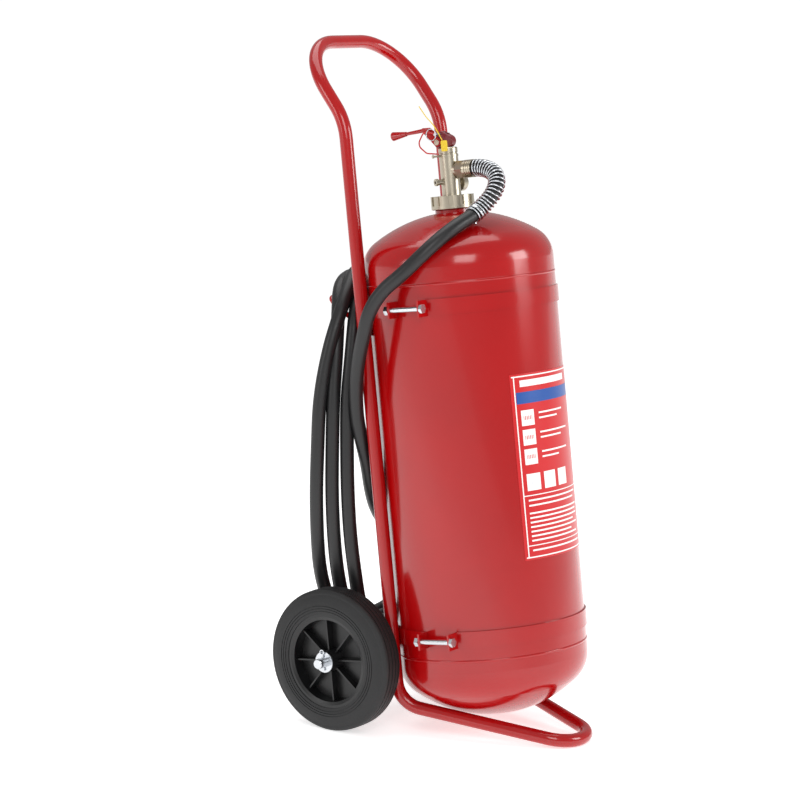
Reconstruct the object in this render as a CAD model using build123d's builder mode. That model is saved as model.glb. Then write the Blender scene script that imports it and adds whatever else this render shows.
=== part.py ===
"""Wheeled powder fire extinguisher, millimetres, +Z up, the label and outlet towards -Y.

The bottle and its frame lean back on two wheels and a front foot. Everything that leans is placed
with at(x, back, up): x across, back and up measured from the axle's middle in the leaning frame.
"""
import math
import os
from build123d import *

os.makedirs("parts", exist_ok=True)

# Overall sizes
overall_height = 1080
foot_reach = 363          # axle to the front of the foot
handle_overhang = 136     # axle to the back of the handle
lean_deg = 8

# Wheels and axle
wheel_d = 226
tyre_width = 50
rim_d = 144
wheel_offset = 169        # middle of a wheel from the middle of the object
axle_d = 16
axle_end = 217
wheel_bore_fit = 0.05     # radial
bush_seat_gap = 0.01

# Frame tube
tube_d = 21
tube_wall = 2
upright_offset = 130
handle_bend_up = 837
handle_bend_radius = 100
handle_corner_radius = 92
tube_joint_up = 190
foot_corner_up = -77
foot_corner_radius = 46
foot_front_half = 36

# Bottle
bottle_d = 300
bottle_wall = 3
bottle_back = -185        # bottle's axis from the axle, along the leaning frame's depth
bottle_low = -23          # lower end of the straight wall
bottle_high = 602         # upper end of the straight wall
top_crown_radius = 230
top_knuckle_radius = 50
base_crown_radius = 200
base_knuckle_radius = 55
neck_d = 57
neck_bore_d = 40

# Clamp bands
band_height = 25
band_thick = 2.5
upper_band_up = 542
lower_band_up = 30
lug_gap = 52
lug_forward = 8           # middle of the lugs ahead of the bottle's axis
lug_reach = 26
lug_thick = 3
bolt_d = 8
bolt_head_flats = 13
bolt_head_high = 5.3
bolt_nut_high = 6.5
seat_gap = 0.1            # between pieces that are clamped or welded together
saddle_thick = 4

# Hose hanger
hanger_rod_d = 8
hanger_half = 115
hanger_back = -12
hanger_up = 565
hanger_slope_deg = 40

# Valve, heights along the bottle's axis
neck_top = 699
collar_low = 686
collar_high = 707
collar_d = 68
body_d = 30
body_high = 767
cap_high = 782
valve_bore_d = 16
stem_d = 7.9
stem_bore_d = 8
outlet_up = 746
outlet_d = 22
pivot_back = 13           # lever pivot behind the bottle's axis
pivot_up = 791
lever_pin_d = 6
fit = 0.05                # radial clearance of turning and sliding fits

# Hose
hose_d = 22
hose_wall = 4

axle_y = (foot_reach - handle_overhang) / 2
axle_z = wheel_d / 2
tube_r = tube_d / 2
bottle_r = bottle_d / 2
sin_lean = math.sin(math.radians(lean_deg))
cos_lean = math.cos(math.radians(lean_deg))
up_dir = Vector(0, sin_lean, cos_lean)
back_dir = Vector(0, cos_lean, -sin_lean)
across_dir = Vector(1, 0, 0)


def at(x, back, up):
    """A point given across, back and up in the leaning frame, in the object's frame."""
    return Vector(x, axle_y, axle_z) + back_dir * back + up_dir * up


def leaning(point):
    """Back and up in the leaning frame of a point of the object's frame."""
    away = point - Vector(0, axle_y, axle_z)
    return away.dot(back_dir), away.dot(up_dir)


def level(up, back=0.0, x=0.0):
    """A plane square to the bottle's axis, with x across and y backwards."""
    return Plane(origin=at(x, back, up), x_dir=across_dir, z_dir=up_dir)


def side(x):
    """A plane square to X, with x backwards and y up the bottle."""
    return Plane(origin=at(x, 0, 0), x_dir=back_dir, z_dir=across_dir)


def facing_front(back, up=0.0, x=0.0):
    """A plane square to the leaning frame's depth that faces forwards, with x across and y up."""
    return Plane(origin=at(x, back, up), x_dir=across_dir, z_dir=-back_dir)


def save(part, name):
    part.label = name
    export_step(part, f"parts/{name}.step")


def tube_along(points, radii, outer_d, inner_d=0.0):
    """A round tube or rod along straight runs joined by tangent arcs."""
    with BuildPart() as tube:
        with BuildLine() as route:
            FilletPolyline(*points, radius=radii)
        with BuildSketch(Plane(origin=route.line @ 0, z_dir=route.line % 0)):
            Circle(outer_d / 2)
            if inner_d:
                Circle(inner_d / 2, mode=Mode.SUBTRACT)
        sweep()
    return tube.part


axis_plane = facing_front(bottle_back)
bottle_axis = Axis(axis_plane.origin, up_dir)
band_r = bottle_r + seat_gap
band_outer_r = band_r + band_thick
upright_reach = band_outer_r + seat_gap + tube_r
upright_back = bottle_back + math.sqrt(upright_reach**2 - upright_offset**2)

# ---------------------------------------------------------------- frame tubes
handle_top = Vector(0, axle_y + handle_overhang - tube_r, overall_height - tube_r)
handle_back, handle_up = leaning(handle_top)
bore_d = tube_d - 2 * tube_wall
handle_points = [
    at(-upright_offset, upright_back, tube_joint_up),
    at(-upright_offset, upright_back, handle_bend_up),
    at(-upright_offset, handle_back, handle_up),
    at(upright_offset, handle_back, handle_up),
    at(upright_offset, upright_back, handle_bend_up),
    at(upright_offset, upright_back, tube_joint_up),
]
handle_radii = [
    handle_bend_radius,
    handle_corner_radius,
    handle_corner_radius,
    handle_bend_radius,
]
save(tube_along(handle_points, handle_radii, tube_d, bore_d), "handle_frame")

foot_front = Vector(0, axle_y - foot_reach + tube_r, tube_r)
foot_back, foot_up = leaning(foot_front)
rail_run = math.hypot(upright_back - foot_back, foot_up - foot_corner_up)
rail_turn = math.atan2(rail_run, upright_offset - foot_front_half)
foot_front_radius = 0.97 * foot_front_half / math.tan(rail_turn / 2)
foot_points = [
    at(-upright_offset, upright_back, tube_joint_up - seat_gap),
    at(-upright_offset, upright_back, foot_corner_up),
    at(-foot_front_half, foot_back, foot_up),
    at(foot_front_half, foot_back, foot_up),
    at(upright_offset, upright_back, foot_corner_up),
    at(upright_offset, upright_back, tube_joint_up - seat_gap),
]
foot_radii = [foot_corner_radius, foot_front_radius, foot_front_radius, foot_corner_radius]
save(tube_along(foot_points, foot_radii, tube_d, bore_d), "foot_frame")

# Spigots join the two frame tubes inside, under a rolled bead
spigot_half = 30
with BuildPart() as frame_spigots:
    for hand in (-1, 1):
        with BuildSketch(level(tube_joint_up - spigot_half, upright_back, hand * upright_offset)):
            Circle(bore_d / 2 - seat_gap)
            Circle(bore_d / 2 - tube_wall, mode=Mode.SUBTRACT)
        extrude(amount=2 * spigot_half)
save(frame_spigots.part, "frame_spigots")


def saddle(low, high):
    """A strip round the back of a band, welded between the uprights."""
    inner = band_outer_r + seat_gap
    with BuildPart() as strip:
        with BuildSketch(level(low, bottle_back)):
            Circle(inner + saddle_thick)
            Circle(inner, mode=Mode.SUBTRACT)
            with Locations((0, upright_back - bottle_back + bottle_r)):
                Rectangle(2 * upright_offset, bottle_d, mode=Mode.INTERSECT)
            with Locations(
                (-upright_offset, upright_back - bottle_back),
                (upright_offset, upright_back - bottle_back),
            ):
                Circle(tube_r + seat_gap, mode=Mode.SUBTRACT)
        extrude(amount=high - low)
    return strip.part


hanger_rod_r = hanger_rod_d / 2
saddle_r = band_outer_r + seat_gap + saddle_thick
hanger_root_back = bottle_back + math.sqrt(saddle_r**2 - hanger_half**2)
hanger_fall = math.tan(math.radians(hanger_slope_deg))
hanger_root_up = hanger_up - (hanger_back - hanger_root_back) * hanger_fall
save(saddle(hanger_root_up - 2 * hanger_rod_r, upper_band_up + band_height / 2), "upper_saddle")
save(
    saddle(lower_band_up - band_height / 2, lower_band_up + band_height / 2),
    "lower_saddle",
)

# The hanger's arms rise backwards from the upper saddle to a cross rod
root_inset = 6
root_back = hanger_root_back - root_inset
root_up = hanger_root_up - root_inset * hanger_fall
hanger_bend = 14
with BuildPart() as hose_hanger:
    with BuildLine() as hanger_route:
        FilletPolyline(
            at(-hanger_half, root_back, root_up),
            at(-hanger_half, hanger_back, hanger_up),
            at(hanger_half, hanger_back, hanger_up),
            at(hanger_half, root_back, root_up),
            radius=hanger_bend,
        )
    with BuildSketch(Plane(origin=hanger_route.line @ 0, z_dir=hanger_route.line % 0)):
        Circle(hanger_rod_r)
    sweep()
    with BuildSketch(level(root_up - 20, bottle_back)):
        Circle(saddle_r + seat_gap / 2)
    extrude(amount=200, mode=Mode.SUBTRACT)
save(hose_hanger.part, "hose_hanger")

# ---------------------------------------------------------------- axle and its brackets
bracket_thick = 5
bracket_high = 46
bracket_low = -34
boss_r = 15
axle_r = axle_d / 2
for hand, name in ((-1, "axle_bracket_left"), (1, "axle_bracket_right")):
    with BuildPart() as bracket:
        with BuildSketch(side(hand * upright_offset - bracket_thick / 2)):
            Circle(boss_r)
            with Locations((upright_back + tube_r + seat_gap + 2, (bracket_high + bracket_low) / 2)):
                Rectangle(4, bracket_high - bracket_low)
            make_hull()
            Circle(axle_r + seat_gap / 2, mode=Mode.SUBTRACT)
        extrude(amount=bracket_thick)
    save(bracket.part, name)

pin_d = 3.2
washer_thick = 2.5
washer_d = 33
hub_half = 28
outer_washer_in = wheel_offset + hub_half + 2 * fit
pin_place = outer_washer_in + washer_thick + pin_d / 2 + 0.3
with BuildPart() as axle:
    with BuildSketch(side(-axle_end)):
        Circle(axle_r)
    extrude(amount=2 * axle_end)
    chamfer(axle.edges().filter_by(GeomType.CIRCLE), 1.2)
    for hand in (-1, 1):
        with BuildSketch(level(-axle_r - 1, 0, hand * pin_place)):
            Circle(pin_d / 2 + fit)
        extrude(amount=axle_d + 2, mode=Mode.SUBTRACT)
save(axle.part, "axle")


def rings(places, outer_d, inner_d, thick, name):
    """Identical rings on the axle, each starting at a place and running in +X."""
    with BuildPart() as ring:
        for place in places:
            with BuildSketch(side(place)):
                Circle(outer_d / 2)
                Circle(inner_d / 2, mode=Mode.SUBTRACT)
            extrude(amount=thick)
    save(ring.part, name)


hub_in = wheel_offset - hub_half - 2 * fit
spacer_in = upright_offset + bracket_thick / 2 + seat_gap
washer_bore = axle_d + 2 * fit
rings((-outer_washer_in - washer_thick, outer_washer_in), washer_d, washer_bore, washer_thick,
      "axle_washers")
rings((-hub_in, spacer_in), 26, washer_bore, hub_in - spacer_in, "axle_spacers")

# Split pins: a straight shank through the axle with a closed eye
eye_r = 4.2
shank_half = axle_r + 5
with BuildPart() as split_pins:
    for hand in (-1, 1):
        with BuildSketch(level(-shank_half, 0, hand * pin_place)):
            Circle(pin_d / 2)
        extrude(amount=2 * shank_half)
        with BuildSketch(side(hand * pin_place)):
            with Locations((0, shank_half + eye_r - 1)):
                Circle(eye_r)
                Circle(eye_r - 1.5, mode=Mode.SUBTRACT)
        extrude(amount=pin_d / 2 - 0.2, both=True)
save(split_pins.part, "split_pins")

# ---------------------------------------------------------------- wheels
hub_d = 36
bush_wall = 2
bush_d = 2 * (axle_r + wheel_bore_fit + bush_wall)
wheel_r = wheel_d / 2
rim_r = rim_d / 2
rim_wall = 6.5
rim_half = 21
web_out = 2               # outer face of the web from the wheel's middle plane
web_thick = 4
rib_count = 8
rib_thick = 2.4
half_width = tyre_width / 2
tread_half = 17
groove_wide = 1.6
groove_deep = 1.6


def wheel_plane_at(hand):
    """The plane whose x runs outwards along the axle and whose y is up the leaning frame."""
    return Plane(origin=at(hand * wheel_offset, 0, 0), x_dir=across_dir * hand, z_dir=-back_dir * hand)


def make_wheel(hand, word):
    middle = wheel_plane_at(hand)
    spin = Axis(middle.origin, across_dir)
    with BuildPart() as rim:
        with BuildSketch(middle):
            with BuildLine():
                Polyline(
                    (-hub_half, bush_d / 2),
                    (hub_half, bush_d / 2),
                    (hub_half, hub_d / 2 - 2),
                    (web_out, hub_d / 2),
                    (web_out, rim_r - rim_wall - 2),
                    (rim_half, rim_r - rim_wall),
                    (rim_half + 2, rim_r - 1.5),
                    (rim_half + 2, rim_r + 3),
                    (rim_half, rim_r + 3),
                    (rim_half, rim_r),
                    (-rim_half, rim_r),
                    (-rim_half, rim_r + 3),
                    (-rim_half - 2, rim_r + 3),
                    (-rim_half - 2, rim_r - rim_wall),
                    (web_out - web_thick, rim_r - rim_wall - 2),
                    (web_out - web_thick, hub_d / 2),
                    (-hub_half, hub_d / 2 - 2),
                    close=True,
                )
            make_face()
        revolve(axis=spin)
        rib_plane = Plane(middle.origin, x_dir=up_dir, z_dir=across_dir * hand)
        with BuildSketch(rib_plane.offset(web_out - 0.5)):
            with PolarLocations((hub_d / 2 + rim_r - rim_wall) / 2 - 1, rib_count):
                Rectangle(rim_r - rim_wall - hub_d / 2 + 1, rib_thick)
        extrude(amount=rim_half - web_out - 5)
    save(rim.part, f"{word}_wheel_rim")

    with BuildPart() as tyre:
        with BuildSketch(middle):
            with BuildLine():
                seat_half = rim_half - seat_gap
                bottom = Line((-seat_half, rim_r + seat_gap), (seat_half, rim_r + seat_gap))
                lip_out = Line(bottom @ 1, (rim_half - seat_gap, rim_r + 3 + seat_gap))
                ledge_out = Line(lip_out @ 1, (half_width - 1, rim_r + 3 + seat_gap))
                wall_out = ThreePointArc(
                    ledge_out @ 1,
                    (half_width, (rim_r + wheel_r) / 2 - 2),
                    (half_width - 4, wheel_r - 8),
                )
                shoulder_out = ThreePointArc(
                    wall_out @ 1, (tread_half + 1.6, wheel_r - 2.6), (tread_half - 4, wheel_r - 0.4)
                )
                tread = ThreePointArc(
                    shoulder_out @ 1, (0, wheel_r), (4 - tread_half, wheel_r - 0.4)
                )
                shoulder_in = ThreePointArc(
                    tread @ 1, (-tread_half - 1.6, wheel_r - 2.6), (4 - half_width, wheel_r - 8)
                )
                wall_in = ThreePointArc(
                    shoulder_in @ 1,
                    (-half_width, (rim_r + wheel_r) / 2 - 2),
                    (1 - half_width, rim_r + 3 + seat_gap),
                )
                ledge_in = Line(wall_in @ 1, (seat_gap - rim_half, rim_r + 3 + seat_gap))
                Line(ledge_in @ 1, bottom @ 0)
            make_face()
            for place in (-12, -4, 4, 12):
                with Locations((place, wheel_r)):
                    Rectangle(groove_wide, 2 * groove_deep, mode=Mode.SUBTRACT)
            for step in (8, 12, 16):
                with Locations((half_width, rim_r + step)):
                    Rectangle(2, 1, mode=Mode.SUBTRACT)
        revolve(axis=spin)
    save(tyre.part, f"{word}_wheel_tyre")

    with BuildPart() as bush:
        with BuildSketch(middle):
            with Locations((0, (bush_d / 2 + axle_r + wheel_bore_fit) / 2)):
                Rectangle(2 * hub_half, bush_wall - 2 * bush_seat_gap)
        revolve(axis=spin)
    save(bush.part, f"{word}_wheel_bush")


make_wheel(-1, "left")
make_wheel(1, "right")

# ---------------------------------------------------------------- bottle
neck_r = neck_d / 2


def head_centres(crown, knuckle):
    """Centres of the crown and knuckle arcs, measured from the end of the straight wall, and the turn."""
    reach = bottle_r - knuckle
    drop = math.sqrt((crown - knuckle) ** 2 - reach**2)
    return reach, drop, math.degrees(math.asin(reach / (crown - knuckle)))


top_reach, top_drop, top_turn = head_centres(top_crown_radius, top_knuckle_radius)
base_reach, base_drop, base_turn = head_centres(base_crown_radius, base_knuckle_radius)
bottle_top = bottle_high + top_crown_radius - top_drop
bottle_base = bottle_low - base_crown_radius + base_drop


def bottle_outline(inset, neck_half):
    """Half outline of the bottle, from its base on the axis to the neck hole."""
    crown = base_crown_radius - inset
    knuckle = base_knuckle_radius - inset
    base = CenterArc((0, bottle_low + base_drop), crown, -90, base_turn)
    corner = CenterArc((base_reach, bottle_low), knuckle, base_turn - 90, 90 - base_turn)
    wall = Line(corner @ 1, (bottle_r - inset, bottle_high))
    knuckle = top_knuckle_radius - inset
    shoulder = CenterArc((top_reach, bottle_high), knuckle, 0, 90 - top_turn)
    crown = top_crown_radius - inset
    end = math.degrees(math.acos(neck_half / crown))
    dome = CenterArc((0, bottle_high - top_drop), crown, 90 - top_turn, end - 90 + top_turn)
    return base, dome


weld_ups = (-4, 577)
with BuildPart() as cylinder_shell:
    with BuildSketch(axis_plane):
        with BuildLine():
            outer_base, outer_dome = bottle_outline(0, neck_r + seat_gap / 2)
            inner_base, inner_dome = bottle_outline(bottle_wall, neck_r + seat_gap / 2)
            Line(outer_base @ 0, inner_base @ 0)
            Line(outer_dome @ 1, inner_dome @ 1)
        make_face()
        for weld_up in weld_ups:
            with Locations((bottle_r - 1.6, weld_up)):
                Circle(2.6)
    revolve(axis=bottle_axis)
save(cylinder_shell.part, "cylinder_shell")


def turned(outline):
    """A solid of revolution about the bottle's axis from a closed outline of radius and height."""
    with BuildPart() as solid:
        with BuildSketch(axis_plane):
            with BuildLine():
                Polyline(*outline, close=True)
            make_face()
        revolve(axis=bottle_axis)
    return solid.part


neck_bore_r = neck_bore_d / 2
neck_foot = bottle_top - 12
save(
    turned(
        (
            (neck_bore_r, neck_foot),
            (neck_r, neck_foot),
            (neck_r, collar_low - 1),
            (neck_r - 1.5, collar_low),
            (neck_r - 1.5, neck_top),
            (neck_bore_r, neck_top),
        ),
    ),
    "neck_boss",
)


lug_left = -(band_r - 4 + lug_reach / 2)
bolt_x = -(band_outer_r + lug_reach / 2 + 1)


def band(up):
    """A clamp band round the bottle, split on the left between two bent lugs."""
    with BuildPart() as strap:
        with BuildSketch(level(up - band_height / 2, bottle_back)):
            Circle(band_outer_r)
            with Locations((-band_r, -lug_forward)):
                Rectangle(band_r, lug_gap, mode=Mode.SUBTRACT)
            for ward in (-1, 1):
                with Locations((lug_left, ward * (lug_gap + lug_thick) / 2 - lug_forward)):
                    Rectangle(lug_reach, lug_thick)
            Circle(band_r, mode=Mode.SUBTRACT)
        extrude(amount=band_height)
        with BuildSketch(facing_front(bottle_back + lug_gap, up, bolt_x)):
            Circle(bolt_d / 2 + seat_gap)
        extrude(amount=2 * lug_gap, mode=Mode.SUBTRACT)
    return strap.part


save(band(upper_band_up), "upper_band")
save(band(lower_band_up), "lower_band")

lug_middle = bottle_back - lug_forward
head_back = lug_middle - lug_gap / 2 - lug_thick - seat_gap
nut_back = lug_middle + lug_gap / 2 + lug_thick + seat_gap
bolt_length = nut_back - head_back + bolt_nut_high + 1.5
with BuildPart() as clamp_bolts:
    for up in (upper_band_up, lower_band_up):
        with BuildSketch(facing_front(head_back, up, bolt_x)):
            RegularPolygon(bolt_head_flats / 2, 6, major_radius=False)
        extrude(amount=bolt_head_high)
        with BuildSketch(facing_front(head_back, up, bolt_x)):
            Circle(bolt_d / 2)
        extrude(amount=-bolt_length)
save(clamp_bolts.part, "clamp_bolts")

with BuildPart() as clamp_nuts:
    for up in (upper_band_up, lower_band_up):
        with BuildSketch(facing_front(nut_back, up, bolt_x)):
            RegularPolygon(bolt_head_flats / 2, 6, major_radius=False)
            Circle(bolt_d / 2, mode=Mode.SUBTRACT)
        extrude(amount=-bolt_nut_high)
save(clamp_nuts.part, "clamp_nuts")

# Instruction label, a thin sheet round the front
label_low = 142
label_high = 428
label_half_deg = 31.5
label_thick = 0.3
label_r = bottle_r + seat_gap / 2
with BuildPart() as label:
    with BuildSketch(level(label_low, bottle_back)):
        with BuildLine():
            inner_arc = CenterArc((0, 0), label_r, -90 - label_half_deg, 2 * label_half_deg)
            outer_arc = CenterArc((0, 0), label_r + label_thick, -90 - label_half_deg, 2 * label_half_deg)
            Line(inner_arc @ 0, outer_arc @ 0)
            Line(inner_arc @ 1, outer_arc @ 1)
        make_face()
    extrude(amount=label_high - label_low)
save(label.part, "label")

# ---------------------------------------------------------------- valve
gasket_thick = 1
flange_r = 26
flange_high = neck_top + gasket_thick + 3.5
body_r = body_d / 2
bore_r = valve_bore_d / 2
neck_thread_r = neck_r - 1.5
save(turned(((neck_bore_r, neck_top), (flange_r, neck_top), (flange_r, neck_top + gasket_thick),
             (neck_bore_r, neck_top + gasket_thick))), "neck_gasket")

spigot_r = neck_bore_r - seat_gap
outlet_bore_r = 6
outlet_reach = 30
port_up = 729
port_r = 4.5
port_reach = 27
port_turn = math.radians(30)
port_dir = across_dir * -math.cos(port_turn) + back_dir * math.sin(port_turn)
port_plane = Plane(origin=at(0, bottle_back, port_up), z_dir=port_dir)
gauge_up = 726
gauge_boss_r = 7
gauge_seat = 18
gauge_plane = Plane(origin=at(0, bottle_back, gauge_up), x_dir=up_dir, z_dir=across_dir)
with BuildPart() as valve_body:
    with BuildSketch(axis_plane):
        with BuildLine():
            Polyline(
                (bore_r, neck_top - 18),
                (spigot_r, neck_top - 18),
                (spigot_r, neck_top + gasket_thick),
                (flange_r, neck_top + gasket_thick),
                (flange_r, flange_high),
                (body_r, flange_high),
                (body_r, body_high),
                (bore_r, body_high),
                close=True,
            )
        make_face()
    revolve(axis=bottle_axis)
    with BuildSketch(facing_front(bottle_back - bore_r - 2, outlet_up)):
        Circle(outlet_d / 2)
    extrude(amount=outlet_reach - bore_r - 2)
    with BuildSketch(port_plane.offset(bore_r + 2)):
        Circle(port_r)
    extrude(amount=port_reach - bore_r - 2)
    with BuildSketch(port_plane.offset(port_reach)):
        Circle(port_r + 1.2)
    extrude(amount=-4)
    with BuildSketch(port_plane.offset(port_reach - 6)):
        Circle(port_r - 2)
    extrude(amount=7, mode=Mode.SUBTRACT)
    with BuildSketch(gauge_plane.offset(bore_r + 2)):
        Circle(gauge_boss_r)
    extrude(amount=gauge_seat - bore_r - 2)
    with BuildSketch(facing_front(bottle_back, outlet_up)):
        Circle(outlet_bore_r)
    extrude(amount=outlet_reach + 1, mode=Mode.SUBTRACT)
save(valve_body.part, "valve_body")

# Castellated ring nut that clamps the valve to the neck
slot_count = 12
with BuildPart() as collar_nut:
    with BuildSketch(level(collar_low, bottle_back)):
        Circle(collar_d / 2)
        Circle(neck_thread_r + seat_gap, mode=Mode.SUBTRACT)
    extrude(amount=flange_high - collar_low + seat_gap)
    with BuildSketch(level(flange_high + seat_gap, bottle_back)):
        Circle(collar_d / 2)
        Circle(body_r + 1, mode=Mode.SUBTRACT)
    extrude(amount=collar_high - flange_high - seat_gap)
    with BuildSketch(level(collar_low + 6, bottle_back)):
        with PolarLocations(collar_d / 2, slot_count):
            Rectangle(4, 7)
    extrude(amount=collar_high - collar_low - 6, mode=Mode.SUBTRACT)
    chamfer(collar_nut.edges().filter_by(GeomType.CIRCLE).sort_by(bottle_axis)[0], 1)
save(collar_nut.part, "collar_nut")

cap_spigot_r = bore_r - seat_gap
stem_bore_r = stem_bore_d / 2
save(turned(((stem_bore_r, body_high - 8), (cap_spigot_r, body_high - 8),
             (cap_spigot_r, body_high + seat_gap), (body_r + 0.6, body_high + seat_gap),
             (body_r + 0.6, body_high + 4), (body_r - 1, body_high + 4.6), (body_r - 1, body_high + 6),
             (body_r, body_high + 6.6), (body_r, cap_high - 1.5), (body_r - 1.5, cap_high),
             (stem_bore_r, cap_high))), "valve_cap")
save(turned(((stem_bore_r, body_high - 12), (cap_spigot_r, body_high - 12),
             (cap_spigot_r, body_high - 8 - seat_gap), (stem_bore_r, body_high - 8 - seat_gap))),
     "stem_packing")

dip_r = bore_r - seat_gap
dip_foot = bottle_base + bottle_wall + 12
save(turned(((dip_r - 1.5, dip_foot), (dip_r, dip_foot), (dip_r, neck_top - 6),
             (dip_r - 1.5, neck_top - 6))), "dip_tube")

stem_r = stem_d / 2
stem_head_low = outlet_up - 20
stem_top = pivot_up + 5
save(turned(((0, stem_head_low), (bore_r - 1, stem_head_low), (bore_r - 1, stem_head_low + 3),
             (stem_r, stem_head_low + 5), (stem_r, stem_top), (0, stem_top))), "valve_stem")

# Lever head on the cap, with the lever's pivot and the safety pin's hole
head_half = 6
pivot = (bottle_back + pivot_back, pivot_up)
pin_back = pivot[0] - 6
pin_up = pivot_up + 12.5
head_base = cap_high + seat_gap
safety_pin_d = 3
with BuildPart() as lever_head:
    with BuildSketch(side(-head_half)):
        with Locations((bottle_back - 4, head_base + 9.5)):
            Circle(9.5)
        with Locations(pivot):
            Circle(pivot_up - head_base)
        with Locations((pin_back, pin_up)):
            Circle(4.5)
        make_hull()
        with Locations(pivot):
            Circle(lever_pin_d / 2 + fit, mode=Mode.SUBTRACT)
        with Locations((pin_back, pin_up)):
            Circle(safety_pin_d / 2 + fit, mode=Mode.SUBTRACT)
    extrude(amount=2 * head_half)
    fillet(lever_head.faces().filter_by(Axis.X).edges().filter_by(GeomType.LINE), 1.2)
    with BuildSketch(level(head_base - 1, bottle_back)):
        Circle(stem_r + fit)
    extrude(amount=40, mode=Mode.SUBTRACT)
save(lever_head.part, "lever_head")

# Lever: two cheeks on the head, a bridge behind it, a thin arm and a conical knob
cheek_thick = 3
cheek_in = head_half + 0.3
arm_start = (pivot[0] + 24, pivot_up + 21)
knob_end_back = bottle_back + 103
with BuildPart() as lever:
    for hand in (-1, 1):
        inner_x = cheek_in if hand > 0 else -cheek_in - cheek_thick
        with BuildSketch(side(inner_x)):
            with Locations(pivot):
                Circle(6.5)
            with Locations(arm_start):
                Circle(3.5)
            make_hull()
        extrude(amount=cheek_thick)
    with BuildSketch(side(-cheek_in)):
        with Locations(arm_start):
            Circle(3.5)
    extrude(amount=2 * cheek_in)
    arm_plane = Plane(
        origin=at(0, *arm_start), z_dir=back_dir * (knob_end_back - arm_start[0]) + up_dir * -5
    )
    arm_length = knob_end_back - arm_start[0] - 27
    with BuildSketch(arm_plane):
        Circle(3.4)
    with BuildSketch(arm_plane.offset(arm_length)):
        Circle(2.7)
    loft()
    with BuildSketch(arm_plane.offset(arm_length)):
        Circle(3.6)
    with BuildSketch(arm_plane.offset(arm_length + 27)):
        Circle(7.5)
    loft()
    knob_rim = lever.edges().filter_by(GeomType.CIRCLE).sort_by(Axis(at(0, 0, 0), back_dir))[-1]
    fillet(knob_rim, 1.8)
    with BuildSketch(side(-20)):
        with Locations(pivot):
            Circle(lever_pin_d / 2 - fit / 2)
    extrude(amount=40, mode=Mode.SUBTRACT)
save(lever.part, "lever")

with BuildPart() as lever_pin:
    with BuildSketch(side(-cheek_in - cheek_thick - 2)):
        with Locations(pivot):
            Circle(lever_pin_d / 2 - fit / 2)
    extrude(amount=2 * (cheek_in + cheek_thick + 2))
    with BuildSketch(side(-cheek_in - cheek_thick - 2)):
        with Locations(pivot):
            Circle(lever_pin_d / 2 + 1.5)
    extrude(amount=1.8)
save(lever_pin.part, "lever_pin")

# Safety pin across the head, with a pull ring on its left end
ring_wire_r = 0.9
ring_r = 9
pin_left = -22
with BuildPart() as safety_pin:
    with BuildSketch(side(pin_left)):
        with Locations((pin_back, pin_up)):
            Circle(safety_pin_d / 2)
    extrude(amount=head_half + 12 - pin_left)
    with BuildSketch(side(pin_left)):
        with Locations((pin_back, pin_up)):
            Circle(2.6)
    extrude(amount=5)
    with BuildSketch(level(pin_up - 5, pin_back, pin_left + 2.5)):
        Circle(ring_wire_r + 0.6)
    extrude(amount=10, mode=Mode.SUBTRACT)
save(safety_pin.part, "safety_pin")

with BuildPart() as pull_ring:
    ring_plane = Plane(
        origin=at(pin_left + 2.5, pin_back + ring_r, pin_up), x_dir=back_dir, z_dir=up_dir
    )
    with BuildLine(Plane(ring_plane.origin, x_dir=back_dir, z_dir=across_dir)) as ring_path:
        CenterArc((0, 0), ring_r, 0, 360)
    with BuildSketch(Plane(origin=ring_path.line @ 0, z_dir=ring_path.line % 0)):
        Circle(ring_wire_r)
    sweep()
save(pull_ring.part, "pull_ring")

# Stud on the valve's cap that the strap loops over
stud_foot = at(0, bottle_back, body_high + 2.3)
with BuildPart() as strap_stud:
    with BuildSketch(Plane(origin=stud_foot + port_dir * (body_r + 0.8), z_dir=port_dir)):
        Circle(1.6)
    extrude(amount=12)
    with BuildSketch(Plane(origin=stud_foot + port_dir * (body_r + 10.8), z_dir=port_dir)):
        Circle(2.8)
    extrude(amount=2)
save(strap_stud.part, "strap_stud")

# Pressure gauge on the right of the valve
gauge_r = 14
gauge_back_x = gauge_seat + seat_gap
gauge_wall = 1.5
dial_x = gauge_back_x + 4
glass_x = gauge_back_x + 9
with BuildPart() as gauge_case:
    with BuildSketch(gauge_plane.offset(gauge_back_x)):
        Circle(gauge_r)
    extrude(amount=11)
    with BuildSketch(gauge_plane.offset(dial_x - 1)):
        Circle(gauge_r - gauge_wall)
    extrude(amount=12, mode=Mode.SUBTRACT)
    with BuildSketch(gauge_plane.offset(dial_x - 1)):
        Circle(0.8 - fit)
    extrude(amount=4)
save(gauge_case.part, "gauge_case")
with BuildPart() as gauge_dial:
    with BuildSketch(gauge_plane.offset(dial_x - 1 + seat_gap)):
        Circle(gauge_r - gauge_wall - seat_gap)
        Circle(1, mode=Mode.SUBTRACT)
    extrude(amount=0.8)
save(gauge_dial.part, "gauge_dial")
with BuildPart() as gauge_needle:
    with BuildSketch(gauge_plane.offset(dial_x + 0.6)):
        Circle(2)
        with Locations((4, 0)):
            Rectangle(9, 1)
        Circle(0.8, mode=Mode.SUBTRACT)
    extrude(amount=0.8)
save(gauge_needle.part, "gauge_needle")
with BuildPart() as gauge_glass:
    with BuildSketch(gauge_plane.offset(glass_x)):
        Circle(gauge_r - gauge_wall - fit)
    extrude(amount=1.5)
save(gauge_glass.part, "gauge_glass")

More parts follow.
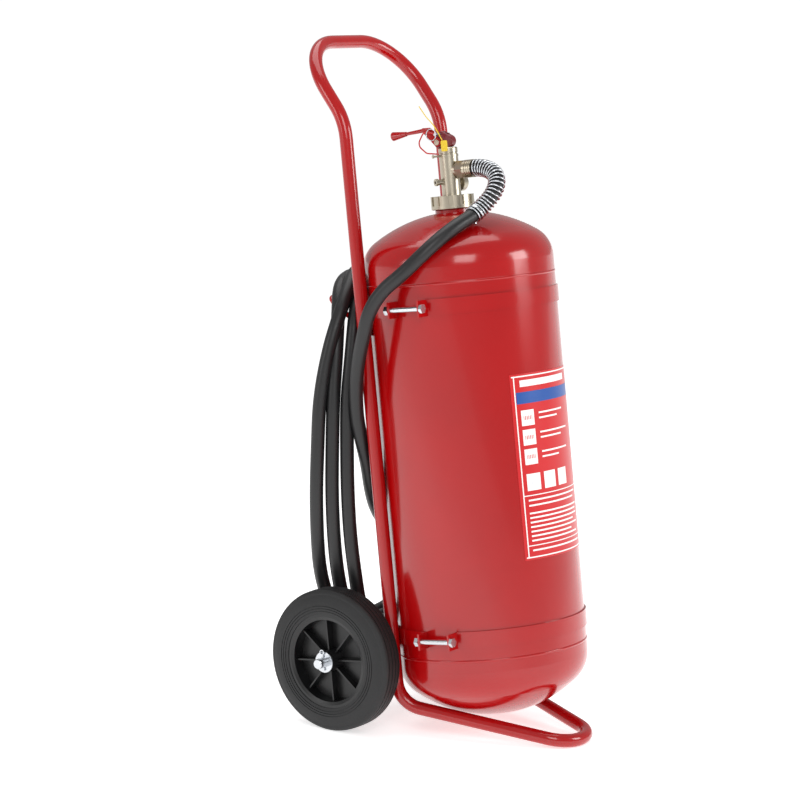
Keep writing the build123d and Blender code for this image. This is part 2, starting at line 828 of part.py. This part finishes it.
# Tamper seal and strap that hang on the safety pin
seal_x = -21
seal_wire_d = 1.6
with BuildPart() as tamper_seal:
    with BuildSketch(side(seal_x - 0.9)):
        with Locations((pin_back - 15, pin_up - 19)):
            RectangleRounded(11, 17, 2)
    extrude(amount=1.8)
save(tamper_seal.part, "tamper_seal")
seal_route = (
    at(seal_x, pin_back - 12, pin_up - 10),
    at(seal_x - 4, pin_back - 8, pin_up + 3),
    at(seal_x - 3, pin_back, pin_up + 15),
    at(seal_x + 5, pin_back + 18, pin_up + 29),
    at(seal_x + 9, pin_back + 32, pin_up + 46),
)
save(tube_along(seal_route, (5, 7, 16), seal_wire_d), "seal_tail")
strap_route = (
    at(-14, pin_back + 4.6, pin_up + 0.6),
    at(-14, pin_back + 26, pin_up + 6),
    at(-14, pin_back + 40, pin_up - 14),
    at(-14, pin_back + 24, pin_up - 28),
    at(-16, pin_back + 4, pin_up - 30.5),
)
save(tube_along(strap_route, (9, 10, 10), 2.2), "pin_strap")

# ---------------------------------------------------------------- hose fittings
outlet_r = outlet_d / 2
outlet_face = bottle_back - outlet_reach
hose_start = outlet_face - 16
nut_flats = 27
with BuildPart() as hose_nut:
    with BuildSketch(facing_front(outlet_face + 13, outlet_up)):
        RegularPolygon(nut_flats / 2, 6, major_radius=False)
        Circle(outlet_r + fit, mode=Mode.SUBTRACT)
    extrude(amount=13 - seat_gap)
    chamfer(hose_nut.faces().sort_by(Axis(at(0, 0, 0), back_dir))[-1].outer_wire().edges(), 0.8)
save(hose_nut.part, "hose_nut")
ferrule_r = 14
with BuildPart() as hose_ferrule:
    with BuildSketch(facing_front(outlet_face - seat_gap, outlet_up)):
        Circle(ferrule_r)
        Circle(outlet_bore_r, mode=Mode.SUBTRACT)
    extrude(amount=outlet_face - seat_gap - hose_start)
    for groove in (5, 9, 13):
        with BuildSketch(facing_front(outlet_face - groove, outlet_up)):
            Circle(ferrule_r + 1)
            Circle(ferrule_r - 1, mode=Mode.SUBTRACT)
        extrude(amount=1.2, mode=Mode.SUBTRACT)
save(hose_ferrule.part, "hose_ferrule")

# ---------------------------------------------------------------- hose
# Centre line from the ferrule round the left upright and down into the coil, across, back and up
hose_run_points = (
    (0, hose_start, outlet_up), (0, -243, outlet_up), (-5, -261, 742), (-13, -279, 733), (-24, -287, 718),
    (-37, -284, 701), (-50, -273, 686), (-70, -265, 673), (-101, -260, 663), (-132, -247, 646),
    (-156, -227, 623), (-172, -198, 596), (-181, -163, 573), (-185, -138, 542), (-180, -121, 507),
    (-171, -103, 476), (-162, -87, 444), (-152, -75, 410), (-142, -66, 375), (-129, -61, 340),
    (-113, -56, 300), (-97, -46, 258), (-72, -34, 224), (-38, -22, 199), (2, -18, 188),
    (41, -14, 179), (71, -7, 155), (85, 0, 117), (79, 10, 78), (53, 17, 46), (15, 22, 29),
    (-22, 23, 28),
)


def bend_radii(points):
    """The largest neat arc at each corner: 0.45 of the shorter run over the half turn's tangent."""
    radii = []
    for before, corner, after in zip(points, points[1:], points[2:]):
        turn = math.radians((corner - before).get_angle(after - corner))
        shorter = min((corner - before).length, (after - corner).length)
        radii.append(0.45 * shorter / math.tan(turn / 2))
    return radii


def cord_tube(name, points):
    """A hollow hose along the points; its radii and its volume over section times length are printed."""
    radii = bend_radii(points)
    hose = tube_along(points, radii, hose_d, hose_d - 2 * hose_wall)
    length = sum((after - before).length for before, after in zip(points, points[1:]))
    section = math.pi * (hose_d - hose_wall) * hose_wall
    print(name, "radii", [round(r) for r in radii], "points", round(length), "mm")
    print(name, "volume over section", round(hose.volume / section), "mm")
    save(hose, name)


run_points = [at(*point) for point in hose_run_points]
cord_tube("hose_run", run_points)

# Spring sleeve round the first bend, and the band at its end
spring_d = 28
spring_corners = 6
spring_points = run_points[: spring_corners + 2]
spring_radii = bend_radii(run_points)[:spring_corners]
spring_points[0] = run_points[0] + (run_points[1] - run_points[0]) * 0.05
last_run = run_points[spring_corners + 1] - run_points[spring_corners]
spring_points[-1] = run_points[spring_corners] + last_run * 0.5
save(tube_along(spring_points, spring_radii, spring_d, hose_d + 0.6), "bend_spring")
spring_end = spring_points[-1]
with BuildPart() as spring_end_band:
    with BuildSketch(Plane(origin=spring_end, z_dir=last_run)):
        Circle(spring_d / 2)
        Circle(hose_d / 2 + 0.1, mode=Mode.SUBTRACT)
    extrude(amount=2.5)
save(spring_end_band.part, "spring_end_band")

# The coil's outer shape: two and a half turns hung over the hanger behind the frame
coil_top = 728
coil_low = 126
coil_front = axle_y + 2
coil_deep = 72
coil_thick = 24
coil_corners = ((92, coil_top, 95), (185, 610, 130), (182, 350, 220), (78, coil_low, 90))
with BuildPart() as hose_coil:
    with BuildSketch(Plane.XZ.offset(-coil_front)):
        with BuildLine():
            Polyline(
                *[(x, z) for x, z, r in coil_corners],
                *[(-x, z) for x, z, r in reversed(coil_corners)],
                close=True,
            )
        make_face()
        for x, z, r in coil_corners:
            for hand in (-1, 1):
                fillet(vertices().sort_by_distance((hand * x, z))[0], r)
        offset(amount=-coil_thick, mode=Mode.SUBTRACT)
    extrude(amount=-coil_deep)
    with BuildSketch(level(0, bottle_back)):
        Circle(bottle_r + 8)
    extrude(amount=900, mode=Mode.SUBTRACT)
    for hand in (-1, 1):
        with BuildSketch(level(0, upright_back, hand * upright_offset)):
            Circle(tube_r + 0.6)
        extrude(amount=900, mode=Mode.SUBTRACT)
save(hose_coil.part, "hose_coil")

# The hose's free end turns down inside the coil and carries the nozzle
tail_y = axle_y + 48.5
tail_bend = 125
tail_stand_off = 17       # the tail starts this much further back to clear the bottle
tail_x = 95
tail_steps = 6
nozzle_top = 566
tail_high = coil_top - coil_thick / 2
tail_points = []
for step in range(tail_steps + 1):
    turn = math.radians(90 * step / tail_steps)
    tail_points.append(
        Vector(
            tail_x - tail_bend * (1 - math.sin(turn)),
            tail_y + tail_stand_off * math.cos(turn) ** 6,
            tail_high - tail_bend * (1 - math.cos(turn)),
        )
    )
tail_points.append(Vector(tail_x + 0.5, tail_y, nozzle_top + 0.4))
cord_tube("hose_tail", tail_points)
nozzle_axis = Axis((tail_x + 0.5, tail_y, 0), (0, 0, 1))
nozzle_plane = Plane(origin=(tail_x + 0.5, tail_y, 0), x_dir=across_dir, z_dir=(0, -1, 0))
nozzle_outlines = {
    "tail_ferrule": ((6, 548), (14, 548), (14, 551), (13, 552), (13, nozzle_top - 2),
                     (12, nozzle_top), (6, nozzle_top)),
    "hose_nozzle": ((6, 547.9), (6, 380), (11, 336), (14, 336), (14, 341), (9, 380), (9, 500),
                    (12, 506), (12, 547.9)),
}
for name, outline in nozzle_outlines.items():
    with BuildPart() as turned_piece:
        with BuildSketch(nozzle_plane):
            with BuildLine():
                Polyline(*outline, close=True)
            make_face()
        revolve(axis=nozzle_axis)
    save(turned_piece.part, name)
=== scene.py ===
"""Wheeled fire extinguisher on a pale floor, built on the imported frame, in metres, +Z up."""

import math

import bpy
from mathutils import Matrix, Vector


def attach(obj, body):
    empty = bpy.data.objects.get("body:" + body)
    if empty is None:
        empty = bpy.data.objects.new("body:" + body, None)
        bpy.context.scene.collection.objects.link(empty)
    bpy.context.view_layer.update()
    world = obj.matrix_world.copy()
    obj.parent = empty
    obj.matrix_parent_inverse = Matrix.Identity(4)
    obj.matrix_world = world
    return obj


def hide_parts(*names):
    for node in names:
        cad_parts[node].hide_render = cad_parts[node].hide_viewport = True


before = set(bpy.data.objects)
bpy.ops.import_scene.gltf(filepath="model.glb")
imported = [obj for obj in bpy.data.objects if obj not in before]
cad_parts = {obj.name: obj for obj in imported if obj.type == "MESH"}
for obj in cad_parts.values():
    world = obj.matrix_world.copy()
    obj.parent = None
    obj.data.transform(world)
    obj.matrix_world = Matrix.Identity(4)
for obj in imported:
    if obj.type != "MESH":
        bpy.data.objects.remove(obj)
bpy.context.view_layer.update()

# Camera: stands low on the left of the object, a long way back, so the uprights stay nearly parallel.
right_axis = Vector((0.57539, -0.81757, 0.02241))
up_axis = Vector((0.11918, 0.11093, 0.98666))
back_axis = Vector((-0.80915, -0.56505, 0.16127))
turned = Matrix((right_axis, up_axis, back_axis)).transposed().to_4x4()
camera_data = bpy.data.cameras.new("camera")
camera_data.sensor_width = 36
camera_data.lens = 121.5
camera = bpy.data.objects.new("camera", camera_data)
camera.matrix_world = Matrix.Translation((-3.5014, -2.3261, 1.2021)) @ turned
bpy.context.collection.objects.link(camera)
bpy.context.scene.camera = camera

# Hose: smooth black rubber discharge hose, drawn out of the valve, round the left upright and under
# the coil, then wound two and a half times over the hanger; its free end hangs down with the nozzle.
LEAN = math.radians(8)
AXLE_Y = 0.1135
AXLE_Z = 0.113


def leaning(across, back, up):
    """A point of the leaning bottle's frame, millimetres from the axle, in metres."""
    y = AXLE_Y + (back * math.cos(LEAN) + up * math.sin(LEAN)) / 1000
    z = AXLE_Z + (up * math.cos(LEAN) - back * math.sin(LEAN)) / 1000
    return Vector((across / 1000, y, z))


hose_run = [
    (0, -231, 746), (0, -243, 746), (-5, -261, 742), (-13, -279, 733), (-24, -287, 718),
    (-37, -284, 701), (-50, -273, 686), (-70, -265, 673), (-101, -260, 663), (-132, -247, 646),
    (-156, -227, 623), (-172, -198, 596), (-181, -163, 573), (-185, -138, 542), (-180, -121, 507),
    (-171, -103, 476), (-162, -87, 444), (-152, -75, 410), (-142, -66, 375), (-129, -61, 340),
    (-113, -56, 300), (-97, -46, 258), (-72, -34, 224), (-38, -22, 199), (2, -18, 188),
    (41, -14, 179), (71, -7, 155), (85, 0, 117), (79, 10, 78), (50, 14, 46),
]
# Each station of a turn: where the first turn passes, how far the next one lies from it, and how
# far the middle turn stands back where the turns cross the hanger.
turn_stations = [
    ((0, 128, 142), (0, 22, 0), (0, 0)), ((-60, 126, 150), (-2, 23, 1), (0, 0)),
    ((-103, 116, 186), (-3, 29, 0), (0, 0)), ((-128, 108, 240), (-4, 32, 0), (0, 0)),
    ((-138, 112, 303), (-10, 25, 0), (0, 0)), ((-142, 116, 374), (-13, 21, 0), (0, 0)),
    ((-142, 119, 447), (-13.5, 18.5, 0), (0, 0)), ((-140, 122, 520), (-13.5, 17, 0), (0, 0)),
    ((-131, 122, 588), (-12, 14, 3), (6, 0)), ((-118, 127, 642), (-9, 9, 3), (16, 4)),
    ((-98, 137, 672), (-2, 7, 9), (27, 8)), ((-60, 162, 688), (-1, 4, 13), (22, 0)),
    ((-15, 175, 690), (0, 0, 13), (22, 0)), ((35, 188, 688), (0, 8, 20), (0, 0)),
    ((75, 182, 690), (1, 6, 21), (0, 0)), ((108, 160, 682), (5, 8, 19), (0, 0)),
    ((128, 138, 640), (13, 8, 14), (0, 0)), ((134, 126, 588), (12, 14, 6), (0, 0)),
    ((140, 122, 520), (13.5, 17, 0), (0, 0)), ((142, 119, 447), (13.5, 18.5, 0), (0, 0)),
    ((142, 116, 374), (13, 21, 0), (0, 0)), ((138, 112, 303), (10, 25, 0), (0, 0)),
    ((128, 108, 240), (4, 32, 0), (0, 0)), ((103, 116, 186), (3, 29, 0), (0, 0)),
    ((60, 126, 150), (2, 23, 1), (0, 0)),
]
hose_tail = [
    (2, 176, 712), (32, 169, 699), (58, 164, 679), (78, 162, 653), (91, 162, 623),
    (95, 162, 591), (95.5, 162, 566.4),
]
route = [leaning(*point) for point in hose_run]
for turn in range(3):
    for station, (start, step, shift) in enumerate(turn_stations):
        if turn == 2 and station > 12:
            break
        outward = turn + max(0, station - 16) / 9
        middle = 1 if turn == 1 else 0
        route.append(
            Vector(
                (
                    (start[0] + outward * step[0]) / 1000,
                    (start[1] + outward * step[1] + middle * shift[0]) / 1000,
                    (start[2] + outward * step[2] + middle * shift[1]) / 1000,
                )
            )
        )
route += [Vector(point) / 1000 for point in hose_tail]


def linear(hex_colour):
    """An sRGB hex colour as Blender's linear colour."""
    parts = [int(hex_colour[i : i + 2], 16) / 255 for i in (0, 2, 4)]
    return (*[c / 12.92 if c <= 0.04045 else ((c + 0.055) / 1.055) ** 2.4 for c in parts], 1)


def add(tree, kind, settings, links=()):
    """A node with its settings; each link is (its socket, the other node, that node's socket)."""
    node = tree.nodes.new(kind)
    for key, value in settings.items():
        if isinstance(key, str) and hasattr(node, key):
            setattr(node, key, value)
        else:
            node.inputs[key].default_value = value
    for socket, other, other_socket in links:
        tree.links.new(other.outputs[other_socket], node.inputs[socket])
    return node


def finish_of(name, hex_colour, metallic, roughness, grain_mm, bump_mm, uneven, coat=0.0):
    """A surface with fine grain in its bump and a slow unevenness in its colour and roughness."""
    material = bpy.data.materials.new(name)
    material.use_nodes = True
    tree = material.node_tree
    shader = tree.nodes["Principled BSDF"]
    shader.inputs["Metallic"].default_value = metallic
    shader.inputs["Coat Weight"].default_value = coat
    shader.inputs["Coat Roughness"].default_value = 0.06
    place = add(tree, "ShaderNodeTexCoord", {})
    slow = add(tree, "ShaderNodeTexNoise", {"Scale": 9.0, "Detail": 3.0}, [("Vector", place, "Object")])
    fine = add(
        tree,
        "ShaderNodeTexNoise",
        {"Scale": 1000 / grain_mm / 2, "Detail": 4.0},
        [("Vector", place, "Object")],
    )
    colour = linear(hex_colour)
    shades = add(tree, "ShaderNodeValToRGB", {}, [("Fac", slow, "Fac")])
    shades.color_ramp.elements[0].position = 0.3
    shades.color_ramp.elements[1].position = 0.7
    shades.color_ramp.elements[0].color = (*[c * (1 - uneven) for c in colour[:3]], 1)
    shades.color_ramp.elements[1].color = (*[min(1, c * (1 + uneven)) for c in colour[:3]], 1)
    gloss = add(
        tree,
        "ShaderNodeMapRange",
        {"To Min": roughness * 0.85, "To Max": min(1, roughness * 1.15)},
        [("Value", fine, "Fac")],
    )
    bump = add(
        tree, "ShaderNodeBump", {"Strength": 0.6, "Distance": bump_mm / 1000}, [("Height", fine, "Fac")]
    )
    tree.links.new(shades.outputs["Color"], shader.inputs["Base Color"])
    tree.links.new(gloss.outputs["Result"], shader.inputs["Roughness"])
    tree.links.new(bump.outputs["Normal"], shader.inputs["Normal"])
    return material


# EPDM rubber, extruded and smooth: near black with a soft broad highlight.
hose_rubber = finish_of("epdm_rubber_extruded", "171718", 0, 0.42, 1.2, 0.03, 0.15)
hose_curve = bpy.data.curves.new("discharge_hose", "CURVE")
hose_curve.dimensions = "3D"
line = hose_curve.splines.new("NURBS")
line.points.add(len(route) - 1)
for point, place in zip(line.points, route):
    point.co = (*place, 1)
line.order_u = 3
line.use_endpoint_u = True
line.resolution_u = 8
hose = bpy.data.objects.new("discharge_hose", hose_curve)
bpy.context.collection.objects.link(hose)
bare = bpy.data.meshes.new_from_object(hose)
hose_line = [vertex.co.copy() for vertex in bare.vertices]
# Metres: the run 1.10, two and a half turns of 1.52, the tail 0.22. Stated, not measured on the curve.
hose_curve.bevel_depth = 0.011
hose_curve.bevel_resolution = 6
hose_curve.use_fill_caps = True
hose_curve.materials.append(hose_rubber)
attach(hose, "frame")
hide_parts("hose_run", "hose_coil", "hose_tail")

# Bend spring: bright zinc-plated steel wire wound round the hose where it turns down off the valve,
# so the hose can't kink; it pushes over the ferrule and ends against a plain ring.
zinc = finish_of("zinc_plated_steel", "c9ccd0", 1, 0.24, 0.8, 0.01, 0.06)
coiled = []
spring_turns = 22
spring_length = 0.140
spring_radius = 0.0128
wind = 18
side = Vector((1, 0, 0))
steps = spring_turns * wind
segment = 0
passed = 0.0
for step in range(steps + 1):
    reach = 0.002 + spring_length * step / steps
    while passed + (hose_line[segment + 1] - hose_line[segment]).length < reach:
        passed += (hose_line[segment + 1] - hose_line[segment]).length
        segment += 1
    along = (hose_line[segment + 1] - hose_line[segment]).normalized()
    centre = hose_line[segment] + along * (reach - passed)
    side = (side - along * side.dot(along)).normalized()
    angle = 2 * math.pi * step / wind
    coiled.append(centre + spring_radius * (side * math.cos(angle) + along.cross(side) * math.sin(angle)))
wire_curve = bpy.data.curves.new("bend_spring_wire", "CURVE")
wire_curve.dimensions = "3D"
wire_line = wire_curve.splines.new("POLY")
wire_line.points.add(len(coiled) - 1)
for point, place in zip(wire_line.points, coiled):
    point.co = (*place, 1)
wire_curve.bevel_depth = 0.0013
wire_curve.bevel_resolution = 3
wire_curve.use_fill_caps = True
wire_curve.materials.append(zinc)
wire = bpy.data.objects.new("bend_spring_wire", wire_curve)
bpy.context.collection.objects.link(wire)
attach(wire, "frame")
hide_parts("bend_spring")

# Bottle, neck, bands, frame tubes and brackets: welded steel with one coat of gloss enamel sprayed on
# after welding, so it shows soft long highlights and a very fine orange peel.
enamel = finish_of("gloss_enamel_red", "a60205", 0, 0.18, 2.5, 0.012, 0.05, coat=0.3)
dark_enamel = finish_of("gloss_enamel_dark_red", "6e0a18", 0, 0.3, 1.5, 0.02, 0.08, coat=0.2)


def coat_nodes(material, *names):
    """Gives CAD nodes their real finish."""
    for name in names:
        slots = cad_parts[name].material_slots
        for place in slots:
            place.material = material


coat_nodes(
    enamel, "cylinder_shell", "neck_boss", "upper_band", "lower_band", "handle_frame", "foot_frame",
    "upper_saddle", "lower_saddle", "axle_bracket_left", "axle_bracket_right", "hose_hanger",
)
coat_nodes(dark_enamel, "lever_head")
coat_nodes(enamel, "lever")

# Wheels: moulded solid rubber tyres on black polypropylene rims, with nylon bushes. The rubber is dull
# and a little dusty grey where it is proud; the rims are smoother and catch a soft light on the ribs.
tyre_rubber = finish_of("moulded_tyre_rubber", "1b1b1c", 0, 0.62, 1.6, 0.08, 0.22)
coat_nodes(tyre_rubber, "left_wheel_tyre", "right_wheel_tyre")
nylon = finish_of("moulded_black_nylon", "141415", 0, 0.45, 0.9, 0.02, 0.1)
rim_plastic = finish_of("moulded_black_polypropylene", "101011", 0, 0.36, 1.4, 0.03, 0.12)
coat_nodes(rim_plastic, "left_wheel_rim", "right_wheel_rim")
coat_nodes(nylon, "left_wheel_bush", "right_wheel_bush", "hose_nozzle", "neck_gasket", "stem_packing")

# Axle, washers, pins, bolts and nuts: bright zinc plate, as the spring.
coat_nodes(
    zinc, "axle", "axle_washers", "axle_spacers", "split_pins", "clamp_bolts", "clamp_nuts",
    "frame_spigots", "safety_pin", "pull_ring", "spring_end_band",
)

# Valve, collar, lever and fittings: machined brass with satin nickel plate, warm grey, with fine
# turning marks that soften its reflections.
nickel = finish_of("satin_nickel_plated_brass", "b9b09e", 1, 0.3, 0.5, 0.012, 0.08)
coat_nodes(
    nickel, "valve_body", "valve_cap", "collar_nut", "hose_nut", "hose_ferrule", "tail_ferrule",
    "gauge_case", "valve_stem", "strap_stud", "lever_pin", "dip_tube",
)

# Seal and strap: a thin moulded polyethylene tag and a loop of red cord, both slightly translucent
# and waxy.
seal_plastic = finish_of("moulded_yellow_polyethylene", "e3c21c", 0, 0.4, 0.8, 0.02, 0.05)
strap_plastic = finish_of("red_pvc_cord", "c4161a", 0, 0.4, 0.8, 0.02, 0.05)
coat_nodes(seal_plastic, "tamper_seal", "seal_tail")
coat_nodes(strap_plastic, "pin_strap")

# Gauge: a printed white dial with a black needle behind a clear window.
dial_print = finish_of("printed_dial_card", "e9e9e4", 0, 0.5, 0.6, 0.005, 0.02)
coat_nodes(dial_print, "gauge_dial")
coat_nodes(nylon, "gauge_needle")
window = bpy.data.materials.new("clear_acrylic_window")
window.use_nodes = True
window_shader = window.node_tree.nodes["Principled BSDF"]
window_shader.inputs["Base Color"].default_value = linear("f2f6f6")
window_shader.inputs["Roughness"].default_value = 0.04
window_shader.inputs["Transmission Weight"].default_value = 1.0
window_shader.inputs["IOR"].default_value = 1.49
coat_nodes(window, "gauge_glass")

# Label: a printed polyester film stuck round the front of the bottle. The print is thin patches that
# follow the bottle's curve: white rules, a blue strip, three plain squares, class boxes and bars for text.
label_red = finish_of("printed_film_red", "c8141a", 0, 0.3, 1.5, 0.004, 0.03, coat=0.2)
label_white = finish_of("printed_film_white", "f1efec", 0, 0.32, 1.5, 0.004, 0.02)
label_blue = finish_of("printed_film_blue", "1c4f9c", 0, 0.32, 1.5, 0.004, 0.03)
coat_nodes(label_red, "label")
BOTTLE_BACK = -185
PRINT_RADIUS = 150.45


def print_patch(name, material, left, right, low, high):
    """A patch of print; left and right are arc lengths from the label's middle, in millimetres."""
    bpy.ops.object.select_all(action="DESELECT")
    across = max(2, int(abs(right - left) / 3))
    bpy.ops.mesh.primitive_grid_add(x_subdivisions=across, y_subdivisions=1, size=2)
    patch = bpy.context.object
    patch.name = name
    for vertex in patch.data.vertices:
        arc = left + (right - left) * (vertex.co.x + 1) / 2
        up = low + (high - low) * (vertex.co.y + 1) / 2
        angle = arc / PRINT_RADIUS
        back = BOTTLE_BACK - PRINT_RADIUS * math.cos(angle)
        vertex.co = leaning(PRINT_RADIUS * math.sin(angle), back, up)
    thick = patch.modifiers.new("film", "SOLIDIFY")
    thick.thickness = 0.0001
    thick.offset = 1
    bpy.ops.object.modifier_apply(modifier="film")
    patch.data.materials.append(material)
    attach(patch, "frame")
    return patch


label_low, label_high, label_side = 142, 428, 80
rules = [
    (-label_side, label_side, label_high - 5, label_high - 3),
    (-label_side, label_side, label_low + 3, label_low + 5),
    (-label_side + 3, -label_side + 5, label_low + 3, label_high - 3),
    (label_side - 5, label_side - 3, label_low + 3, label_high - 3),
    (-label_side + 5, label_side - 5, 240, 241.5),
    (-label_side + 5, label_side - 5, 163, 164.5),
]
for number, (left, right, low, high) in enumerate(rules):
    print_patch(f"label_rule_{number}", label_white, left, right, low, high)
print_patch("label_strip", label_blue, -label_side + 6, label_side - 6, 382, 400)
print_patch("label_head_bar", label_white, -66, 50, 408, 418)
for number in range(3):
    low = 348 - 30 * number
    print_patch(f"label_square_{number}", label_white, -68, -44, low, low + 24)
    print_patch(f"label_mark_{number}", label_red, -64, -48, low + 9, low + 15)
for number in range(3):
    left = -68 + 34 * number
    print_patch(f"label_class_{number}", label_white, left, left + 26, 248, 274)
    print_patch(f"label_dot_{number}", label_blue, left + 9, left + 17, 257, 265)
bars = [
    (-34, 30, 364), (-34, 12, 356), (-34, 44, 334), (-34, 20, 326), (-34, 38, 304), (-34, 8, 296),
    (-68, 60, 232), (-68, 48, 224), (-68, 62, 212), (-68, 56, 205), (-68, 60, 198), (-68, 40, 191),
    (-68, 58, 184), (-68, 30, 177), (-68, 54, 170), (-68, 62, 155),
]
for number, (left, right, up) in enumerate(bars):
    print_patch(f"label_bar_{number}", label_white, left, right, up, up + 2.6)

# Studio: a pale seamless floor and large soft lamps on both sides and above.
floor_paint = finish_of("matt_white_floor", "ffffff", 0, 0.9, 5, 0.01, 0.005)
bpy.ops.object.select_all(action="DESELECT")
bpy.ops.mesh.primitive_plane_add(size=400)
floor = bpy.context.object
floor.name = "floor"
floor_shader = floor_paint.node_tree.nodes["Principled BSDF"]
floor_shader.inputs["Emission Color"].default_value = (1, 1, 1, 1)
floor_shader.inputs["Emission Strength"].default_value = 0.62
floor.data.materials.append(floor_paint)
world = bpy.data.worlds.new("studio")
world.use_nodes = True
sky = world.node_tree.nodes["Background"]
sky.inputs["Color"].default_value = (1, 1, 1, 1)
ray = add(world.node_tree, "ShaderNodeLightPath", {})
glow = add(
    world.node_tree,
    "ShaderNodeMapRange",
    {"To Min": 0.42, "To Max": 1.0},
    [("Value", ray, "Is Camera Ray")],
)
world.node_tree.links.new(glow.outputs["Result"], sky.inputs["Strength"])
bpy.context.scene.world = world
lamps = [
    ((-2.4, -2.0, 2.2), 30, 1.4),
    ((1.2, -2.8, 1.6), 34, 1.2),
    ((0.2, 0.6, 3.4), 46, 2.6),
    ((-2.6, 1.4, 1.4), 12, 1.0),
]
for number, (place, power, size) in enumerate(lamps):
    lamp_data = bpy.data.lights.new(f"softbox_{number}", "AREA")
    lamp_data.energy = power
    lamp_data.size = size
    lamp = bpy.data.objects.new(f"softbox_{number}", lamp_data)
    lamp.location = place
    aim = Vector((0, 0, 0.5)) - Vector(place)
    lamp.rotation_euler = aim.to_track_quat("-Z", "Y").to_euler()
    bpy.context.collection.objects.link(lamp)
bpy.context.scene.view_settings.view_transform = "Standard"
